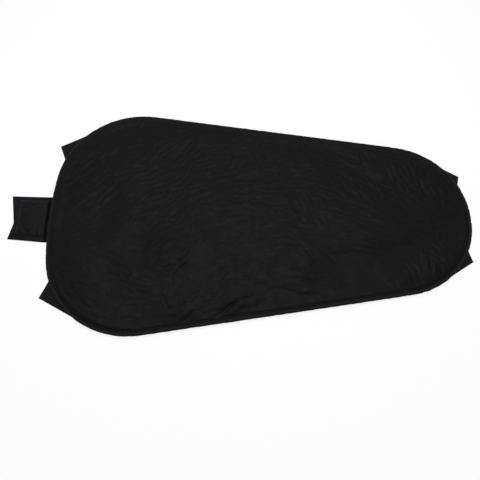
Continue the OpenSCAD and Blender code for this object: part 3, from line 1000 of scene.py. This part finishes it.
def box_stitches(name, middles, directions, stands_for):
    """Stitches on the underside that hold a strap to its patch."""
    stitches(name, middles, BOX_STITCH_Z, directions, -1, BOX_STITCH_SIZE, "cover", [stands_for])


def rim_stitches():
    count = round(rim.length / STITCH_PITCH)
    s = (np.arange(count) + 0.5) * rim.length / count
    flat, normal = rim.at(s, seam_inset)
    along = np.column_stack([-normal[:, 1], normal[:, 0]])
    top = deck_top(flat, s, np.full(count, seam_inset)) - 0.12
    stitches("rim_top_stitches", flat, top, along, 1, STITCH_SIZE, "cover", ["rim_top_thread"])
    low = casing_low[2] + 0.42
    stitches("rim_under_stitches", flat, low, along, -1, STITCH_SIZE, "cover", ["rim_under_thread"])


# ---- straps ----

def strap_frame(name):
    """A corner strap's tip corner, unit vectors along and across it from there, and its length and width."""
    nodes = f"{name}_tab", f"{name}_tab_base"
    corners = hull(node_points(*nodes)[:, :2])
    if len(corners) != 4:
        raise ValueError(f"{nodes} should have four corners, and have {len(corners)}")
    tip, one, _, other = np.roll(corners, -int(np.hypot(*corners.T).argmax()), 0)
    across, along = sorted((one - tip, other - tip), key=lambda side: np.hypot(*side))
    length, width = np.hypot(*along), np.hypot(*across)
    return tip, along / length, across / width, length, width


def edge_spaced(length, step, edge=(0, 0.15, 0.45, 0.9)):
    """Distances from 0 to length, close together at both ends."""
    inner = np.linspace(edge[-1], length - edge[-1], max(2, round((length - 2 * edge[-1]) / step) + 1))
    return np.concatenate([edge[:-1], inner, length - np.array(edge[:-1])[::-1]])


def inside_distance(flat, corners):
    """Distance in from the sides of an outline that runs anticlockwise, less than 0 outside it."""
    ahead = np.roll(corners, -1, 0) - corners
    inward = np.column_stack([-ahead[:, 1], ahead[:, 0]]) / np.hypot(*ahead.T)[:, None]
    return np.min([(flat - a) @ n for a, n in zip(corners, inward)], 0)


def joint_of(body):
    """The joint that a tab's body turns on."""
    return next(j for j in frame["joints"] if j["child"] == body)


def fold_line(body):
    """The joint's place in mm and the direction away from the deck, in the plane."""
    joint = joint_of(body)
    place = np.array(joint["pos_m"][:2]) / MM
    axis = np.array(joint["axis"][:2])
    out = np.array([-axis[1], axis[0]])
    return place, out * np.sign(out @ place)


def blend_at(piece):
    """Bakes the piece's place into its mesh."""
    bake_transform(piece)


def box_stitch_lines(centre, along, across, size):
    """A rectangle with its two diagonals, as pairs of points."""
    a, b = along * size[0] / 2, across * size[1] / 2
    corners = [centre - a - b, centre + a - b, centre + a + b, centre - a + b]
    return [(corners[k], corners[m]) for k, m in ((0, 1), (1, 2), (2, 3), (3, 0), (0, 2), (1, 3))]


def seam_pull(flat, lines):
    """How far stitches along some lines pull the cloth in."""
    near = np.min([distance_to(flat, *line)[0] for line in lines], 0)
    return 0.45 * bell(near, 0.9)


def rounded_half(edge):
    """Half a strap's thickness at a distance in from its edge, and how much of it is rounded out: 0 to 1."""
    roundness = np.sqrt(1 - (1 - np.clip(edge / EDGE_ROUNDING, 0, 1)) ** 2)
    return STRAP_T / 2 * (0.35 + 0.65 * roundness), roundness


def strap_block(shape, flat, own, top, bottom, mirrored=False):
    """Points, faces and uv of a closed strap. own holds each point's place in the strap's own directions."""
    quads = grid_quads(*shape)[0]
    index = np.arange(len(flat)).reshape(shape)
    loop = np.concatenate([index[0, :-1], index[:-1, -1], index[-1, :0:-1], index[:0:-1, 0]])
    if mirrored:
        quads = quads[:, ::-1]
    else:
        loop = loop[::-1]
    points, faces = closed_sheet(flat, quads.tolist(), loop, top, bottom)
    return points, faces, per_corner(np.vstack([own, own]), faces)


# Straps: thickness, how far in their edges are rounded, step of the mesh, size of the corner seams and their
# distance from the inner end, and how much each free end curls up
STRAP_T = box_mm("grab_tab_base")[1][2]
EDGE_ROUNDING = 0.9
STRAP_STEP = 1.3
CORNER_SEAM = (30.0, 24.0)
CORNER_SEAM_IN = 25.0
CORNER_CURLS = {"rear_port": 1.0, "rear_starboard": 1.6, "front_port": 0.8, "front_starboard": 1.2}


def corner_strap(name, curl, seed):
    """Webbing that runs from under the patch out past the rim, where it shows as a small ear."""
    body = f"{name}_tab"
    tip, along, across, length, width = strap_frame(name)
    u, v = np.meshgrid(edge_spaced(length, STRAP_STEP), edge_spaced(width, STRAP_STEP), indexing="ij")
    shape = u.shape
    u, v = u.ravel(), v.ravel()
    flat = tip + u[:, None] * along + v[:, None] * across
    half, roundness = rounded_half(np.min([u, length - u, v, width - v], 0))
    phase = np.random.default_rng(seed).uniform(0, 6)
    ripple = 0.05 * np.sin(v * 2 * np.pi / 7.1 + phase) * roundness
    place, out = fold_line(body)
    lift = curl * (np.maximum((flat - place) @ out - 3, 0) / 20) ** 1.6
    centre = tip + width / 2 * across + (length - CORNER_SEAM_IN) * along
    turned = np.array([-along[1], along[0]])
    lines = box_stitch_lines(centre, along, turned, CORNER_SEAM)
    top = STRAP_T / 2 + half + lift
    bottom = STRAP_T / 2 - half + lift + seam_pull(flat, lines) + np.abs(ripple)
    block = strap_block(shape, flat, np.column_stack([u, v]), top, bottom, mirrored=turned @ across < 0)
    piece = make_piece(f"{name}_webbing", *block, WEBBING, stands_for=[body, f"{body}_base"], slot="webbing")
    blend_at(piece)
    return straight_rows(lines)


def corner_straps():
    """All four corner straps, and one piece that holds their box stitches."""
    rows = [corner_strap(name, curl, SEED + 20 + k) for k, (name, curl) in enumerate(CORNER_CURLS.items())]
    box_stitches("corner_box_stitches", *joined(rows), "corner_box_stitching")


# ---- patches ----

# Patches: step along the edge, rings of points as shares of the way in, and the seam's distance in
PATCH_STEP = 2.5
PATCH_RINGS = (0, 0.004, 0.012, 0.03, 0.06, 0.08, 0.1, 0.15, 0.25, 0.35, 0.45, 0.55, 0.65, 0.75, 0.85, 0.95)
PATCH_SEAM_IN = 3.5


def patch_piece(node):
    """A cloth patch sewn to the lining, with soft edges and a little pucker. Returns its row of stitches."""
    outline = hull(node_points(node)[:, :2])
    low, high = box_mm(node)
    centre = outline.mean(0)
    edge, s = even_loop(outline, PATCH_STEP)
    count = len(s)
    shares = 1 - np.array(PATCH_RINGS)
    flat = np.concatenate([centre + share * (edge - centre) for share in shares] + [centre[None]])
    quads = grid_quads(len(shares), count, wrap_columns=True)[0]
    last = (len(shares) - 1) * count
    fan = [[last + k, last + (k + 1) % count, len(flat) - 1] for k in range(count)]
    reach = np.hypot(*(edge - centre).T).mean()
    depth = np.append(np.repeat(1 - shares, count), 1) * reach
    pucker = 0.12 * np.sin(np.append(np.tile(s, len(shares)), 0) * 2 * np.pi / 6.3) * bell(depth - 4, 3)
    rounding = 0.35 * (1 - smoothstep(depth, 0, 1.0))
    bottom = low[2] + rounding + 0.25 * bell(depth - PATCH_SEAM_IN, 0.9) + np.abs(pucker)
    piece = cover_cloth(f"{node}_cloth", PATCH, node, "patch_cloth",
                        flat, quads.tolist() + fan, np.arange(count), high[2] - rounding, bottom)
    ring = centre + (1 - PATCH_SEAM_IN / reach) * (edge - centre)
    after = np.roll(ring, -1, 0)
    return (ring + after) / 2, (after - ring) / np.hypot(*(after - ring).T)[:, None]


def patches():
    rows = [patch_piece(f"{name}_patch") for name in (*CORNER_CURLS, "grab_tab")]
    middles, directions = joined(rows)
    z = patch_low[2] + 0.3
    stitches("patch_edge_stitches", middles, z, directions, -1, (2.1, 0.7, 0.35), "cover")


# ---- grab tab ----

base_low, base_high = box_mm("grab_tab_base")
thread_corners = hull(node_points("grab_tab_edge_thread")[:, :2])
edge_seam = thread_corners - THREAD_W / 2 * np.sign(thread_corners - thread_corners.mean(0))
hinge_x, hinge_y = fold_line("grab_tab")[0]
grab_reach_in = base_high[0] - hinge_x
foam_out = hinge_x - box_mm("grab_tab_foam")[1][0]

# The pad in mm: roll at the hem, rise over the foam, width of its slope, and where it begins past the fold
PAD_HEM = 1.3
PAD_PUFF = 5.0
PAD_SLOPE = 8.5
PAD_START = 4

# The simulation: the share that the cloth is too large by, and how far it may move a point
PAD_GROW = 0.04
PAD_CAP = 2.5

# Its strip is painted shade: darker, duller cloth where the tab runs into the gap under the rim
GRAB = nylon_paint("grab_cloth", 0.0063, thread_mm=0.5, crinkle=0.55, roughness=0.56,
                   shade_strip=(grab_reach_in - 3, grab_reach_in + 3))

# Creases in the pad's upper cloth, like those of the deck
PAD_FOLDS = [
    ([(-452, 10), (-444, 20), (-436, 31)], 2.4, -1.9),
    ([(-474, -34), (-468, -41), (-462, -48)], 2.0, -1.7),
    ([(-450, -27), (-445, -36), (-439, -47)], 2.2, -2.0),
    ([(-457, -30), (-452, -39), (-447, -48)], 2.4, 1.2),
    ([(-468, 44), (-462, 30), (-462, 16)], 2.6, -1.4),
    ([(-425, 40), (-430, 28), (-427, 14)], 2.4, -1.4),
    ([(-424, -20), (-429, -30), (-425, -42)], 2.2, -1.2),
    ([(-418, -4), (-415, -26), (-414, -48)], 3.0, -1.5),
    ([(-470, 6), (-460, 4), (-452, 8)], 3.0, -0.8),
]


def tab_outline():
    """Corners of the grab tab's free end and its notch, in mm out from the fold line and to port."""
    points = node_points("grab_tab_lower_ply")[:, :2]
    end = np.column_stack([hinge_x - points[:, 0], points[:, 1] - hinge_y])
    end = end[end[:, 0] > 0.8 * end[:, 0].max()]
    return end[end[:, 1].argmax()], end[end[:, 1].argmin()], end[end[:, 0].argmin()]


def padded_outline():
    """The line of the edge stitches, run on to the rim because the cloth stays full there."""
    root = thread_corners[:, 0] > thread_corners[:, 0].mean()
    lean = (thread_corners[root].mean(0) - thread_corners[~root].mean(0)) / np.ptp(thread_corners[:, 0])
    return edge_seam + root[:, None] * lean * (hinge_x + 3 - thread_corners[root, 0].max())


def end_reach(across, end_corners):
    """How far out the tab's end lies, at distances to port of its middle."""
    port, starboard, notch = end_corners
    return np.interp(across, *np.array([starboard, notch, port])[:, ::-1].T)


def pad_grid(end_corners, half_root):
    """Rows of points from the end under the deck to the free end, as mm out from the fold and to port."""
    port, starboard, notch = end_corners
    b = edge_spaced(2.0, 0.05, (0, 0.006, 0.016, 0.03)) - 1
    out_steps = -grab_reach_in + edge_spaced(grab_reach_in - 3, 1.6)[:-1]
    out_steps = np.concatenate([out_steps, np.linspace(-3, PAD_START, 8)])[:, None]
    a = np.concatenate([np.linspace(0, 1, 32)[1:-1], [0.985, 0.995, 1.0]])[:, None]
    side = b * half_root
    end_side = np.interp(b, [-1, 0, 1], [starboard[1], notch[1] * 0.3, port[1]])
    end_out = end_reach(end_side, end_corners)
    out = np.vstack([np.tile(out_steps, len(b)), PAD_START + a * (end_out - PAD_START)])
    across = np.vstack([np.tile(side, (len(out_steps), 1)), side + a * (end_side - side)])
    from_edge = (1 - np.abs(b)) * half_root
    return out, across, np.broadcast_to(from_edge, out.shape)


def pad_puff(sewn, out, roundness):
    """How far the upper ply rises: full over the foam, and a low roll along the hem."""
    puff = PAD_PUFF * np.sin(np.pi / 2 * np.clip(sewn / PAD_SLOPE, 0, 1)) * smoothstep(out, 0, 7)
    return puff + PAD_HEM * bell(sewn + 3.5, 1.7) * roundness * smoothstep(out, PAD_START, 12)


def grab_tab_pad():
    """Two plies round a foam pad, sewn along the edges, in one piece with the webbing under the deck."""
    end_corners = tab_outline()
    half_root = (base_high[1] - base_low[1]) / 2
    out, across, side_edge = pad_grid(end_corners, half_root)
    shape = out.shape
    out, across, side_edge = out.ravel(), across.ravel(), side_edge.ravel()
    flat = np.column_stack([hinge_x - out, hinge_y + across])
    end_edge = np.maximum(end_reach(across, end_corners) - out, 0)
    half, roundness = rounded_half(np.min([out + grab_reach_in, side_edge, end_edge], 0))
    sewn = inside_distance(flat, padded_outline())
    low, high = (corner[:2] for corner in box_mm("grab_tab_box_stitching"))
    lines = box_stitch_lines((low + high) / 2, np.array([1.0, 0]), np.array([0, 1.0]), high - low - THREAD_W)
    top = STRAP_T / 2 + half + pad_puff(sewn, out, roundness)
    bottom = STRAP_T / 2 - half + seam_pull(flat, lines)
    own = np.column_stack([out + grab_reach_in, across + half_root])
    block = strap_block(shape, flat, own, top, bottom)
    replaced = [f"grab_tab_{part}" for part in ("upper_ply", "lower_ply", "base", "foam")]
    piece = make_piece("grab_tab_pad", *block, GRAB, stands_for=replaced, slot="grab_cloth")
    free = smoothstep(sewn, 1, 6) * smoothstep(out, PAD_START, 10)
    inflate(piece, np.concatenate([free, 0 * free]))
    settle_pad(piece, len(flat), free)
    edge_stitches(piece, len(flat))
    blend_at(piece)
    box_stitches("grab_tab_box_stitches", *straight_rows(lines), "grab_tab_box_stitching")


CLOTH_SETTINGS = {
    "quality": 8,
    "mass": 0.15,
    "tension_stiffness": 20,
    "compression_stiffness": 20,
    "shear_stiffness": 8,
    "bending_stiffness": 0.02,
    "vertex_group_mass": "held",
    "shrink_min": -PAD_GROW,
    "shrink_max": -PAD_GROW,
    "use_pressure": True,
    "uniform_pressure_force": 4,
}
CLOTH_STEPS = 20


def coordinates(mesh):
    """Every vertex's place in metres."""
    return np.array([v.co for v in mesh.vertices])


def inflate(piece, free):
    """Blows the pad up as cloth held along its sewn edges, with a little spare cloth so that it puckers."""
    scene = bpy.context.scene
    held = piece.vertex_groups.new(name="held")
    for k, w in enumerate(1 - free):
        held.add([k], float(w), "REPLACE")
    before = coordinates(piece.data)
    cloth = piece.modifiers.new("swell", "CLOTH")
    for key, value in CLOTH_SETTINGS.items():
        setattr(cloth.settings, key, value)
    cloth.settings.effector_weights.gravity = 0
    cloth.collision_settings.use_collision = False
    scene.frame_start, scene.frame_end = 1, CLOTH_STEPS
    for step in range(1, CLOTH_STEPS + 1):
        scene.frame_set(step)
    evaluated = piece.evaluated_get(bpy.context.evaluated_depsgraph_get())
    move = coordinates(evaluated.data) - before
    move[:, :2] = np.clip(0.35 * move[:, :2], -PAD_CAP * MM, PAD_CAP * MM)
    move[:, 2] = np.clip(move[:, 2], -0.4 * MM, PAD_CAP * MM)
    piece.modifiers.remove(cloth)
    piece.vertex_groups.remove(held)
    piece.data.vertices.foreach_set("co", (before + move).ravel())
    scene.frame_set(1)


def settle_pad(piece, count, free):
    """Presses creases into the pad and keeps the room that its fold needs."""
    points = coordinates(piece.data) / MM
    top = points[:count, 2] + free * fold_height(points[:count, :2], PAD_FOLDS)
    out = hinge_x - points[:count, 0]
    room = STRAP_T + PAD_PUFF + 1.5 * np.maximum(out - 9, 0)
    points[:count, 2] = np.minimum(top, room)
    points[:, 2] = np.maximum(points[:, 2], 0)
    piece.data.vertices.foreach_set("co", (points * MM).ravel())
    piece.data.update()


def edge_stitches(pad, count):
    """Stitches through both plies round the padding, lying on the pad's own upper face."""
    middles, directions = straight_rows([(edge_seam[k], edge_seam[(k + 1) % 4]) for k in range(4)])
    kept = hinge_x - middles[:, 0] > foam_out
    middles, directions = middles[kept], directions[kept]
    points = coordinates(pad.data)[:count] / MM
    near = np.hypot(*(points[None, :, :2] - middles[:, None]).transpose(2, 0, 1)).argmin(1)
    stitches("grab_tab_edge_stitches", middles, points[near, 2] - 0.1, directions, 1, (2.5, THREAD_W, 0.4),
             "grab_tab", ["grab_tab_edge_thread"])


# ---- what the covers hide ----

def dress_cad_nodes():
    """Better materials on the CAD pieces that stay."""
    paints = {"deck_core": NEOPRENE, "rim_cord": cord_paint(), "cord_ferrule": metal_paint()}
    for node, material in paints.items():
        mesh = frame["nodes"][node].data
        mesh.materials.clear()
        mesh.materials.append(material)


# ---- stage, light and camera ----

# Sizes and places in metres, powers in watts
FLOOR_SIZE = 8.0
FLOOR_DROP = 0.0005
FLOOR_GLOW = 0.85
PAPER = 0.45
PAPER_SEEN = 1.0
WORLD_LIGHT = 0.4
BACKDROP_TOP = 0.35
BACKDROP_FADE = 0.1
KEY_PLACE = (-0.03, 0.28, 1.45)
KEY_SIZE = (1.2, 0.8)
KEY_POWER = 15.2
BACK_PLACE = (0.0, 1.7, 0.28)
BACK_SIZE = (2.4, 0.4)
BACK_POWER = 1.2


def empty_tree(owner):
    """The node tree of a material or a world, cleared."""
    owner.use_nodes = True
    owner.node_tree.nodes.clear()
    return owner.node_tree


def seen_ray(tree):
    """1 for a ray that the camera, a reflection or glass sees, and 0 for the light that falls on things."""
    path = add_node(tree, "ShaderNodeLightPath").outputs
    first = add_math(tree, "ADD", path["Is Camera Ray"], path["Is Glossy Ray"])
    return add_math(tree, "ADD", first, path["Is Transmission Ray"], use_clamp=True)


def floor():
    """A plain white floor that still shows the cover's soft shadow."""
    material = bpy.data.materials.new("studio_floor")
    tree = empty_tree(material)
    seen = seen_ray(tree)
    tone = add_math(tree, "MULTIPLY_ADD", seen, PAPER_SEEN - PAPER, PAPER)
    share = add_math(tree, "MULTIPLY", seen, FLOOR_GLOW)
    paper = add_node(tree, "ShaderNodeBsdfDiffuse", {"Color": tone}).outputs[0]
    white = add_node(tree, "ShaderNodeEmission", {"Strength": 1.0}).outputs[0]
    both = add_node(tree, "ShaderNodeMixShader", {0: share, 1: paper, 2: white}).outputs[0]
    add_node(tree, "ShaderNodeOutputMaterial", {"Surface": both})
    mesh = bpy.data.meshes.new("studio_floor")
    h = FLOOR_SIZE / 2
    mesh.from_pydata([(-h, -h, 0), (h, -h, 0), (h, h, 0), (-h, h, 0)], [], [(0, 1, 2, 3)])
    mesh.materials.append(material)
    piece = link_to_scene("studio_floor", mesh)
    piece.location.z = -FLOOR_DROP


def world():
    """Even light from all round. Near the horizon the camera, reflections and glass see it as white."""
    sky = bpy.data.worlds.new("studio")
    bpy.context.scene.world = sky
    tree = empty_tree(sky)
    direction = add_node(tree, "ShaderNodeTexCoord").outputs["Generated"]
    height = add_node(tree, "ShaderNodeSeparateXYZ", {0: direction}).outputs["Z"]
    band = {"Value": height, "From Min": BACKDROP_TOP, "From Max": BACKDROP_TOP + BACKDROP_FADE,
            "To Min": 1.0, "To Max": 0.0}
    low = add_node(tree, "ShaderNodeMapRange", band, interpolation_type="SMOOTHSTEP").outputs[0]
    share = add_math(tree, "MULTIPLY", seen_ray(tree), low)
    light, white = (
        add_node(tree, "ShaderNodeBackground", {"Color": (1, 1, 1, 1), "Strength": strength}).outputs[0]
        for strength in (WORLD_LIGHT, 1.0)
    )
    both = add_node(tree, "ShaderNodeMixShader", {0: share, 1: light, 2: white}).outputs[0]
    add_node(tree, "ShaderNodeOutputWorld", {"Surface": both})


def look_from(place, target):
    """A turn that looks from one point at another, with +Y up in the picture."""
    back = (Vector(place) - Vector(target)).normalized()
    right = Vector((0, 1, 0)).cross(back).normalized() if abs(back.y) < 0.9 else Vector((1, 0, 0))
    return Matrix((right, back.cross(right), back)).transposed().to_euler()


def soft_light(name, place, size, power):
    """A large soft lamp that faces the cover's middle."""
    lamp = bpy.data.lights.new(name, "AREA")
    lamp.shape = "RECTANGLE"
    lamp.size, lamp.size_y = size
    lamp.energy = power
    piece = link_to_scene(name, lamp)
    piece.location = place
    piece.rotation_euler = look_from(place, (0, 0, 0))


# Lens and sensor in mm, the camera's tilt above the ground, and its distance from what it aims at in metres
LENS = 42
SENSOR = 36
CAMERA_PITCH = math.radians(66.7)
CAMERA_DISTANCE = 1.1666
CAMERA_AIM = (0.0014, -0.0524, 0.0056)


def camera():
    """The photo's view: from the starboard side, well above."""
    lens = bpy.data.cameras.new("camera")
    lens.lens = LENS
    lens.sensor_width = SENSOR
    piece = link_to_scene("camera", lens)
    back = Vector((0, -math.cos(CAMERA_PITCH), math.sin(CAMERA_PITCH)))
    piece.location = Vector(CAMERA_AIM) + back * CAMERA_DISTANCE
    piece.rotation_euler = back.to_track_quat("Z", "Y").to_euler()
    bpy.context.scene.camera = piece


deck_cover()
deck_lining()
rim_tape()
rim_stitches()
corner_straps()
patches()
grab_tab_pad()
dress_cad_nodes()
floor()
world()
soft_light("key", KEY_PLACE, KEY_SIZE, KEY_POWER)
soft_light("back", BACK_PLACE, BACK_SIZE, BACK_POWER)
camera()
bpy.context.scene.view_settings.view_transform = "Standard"
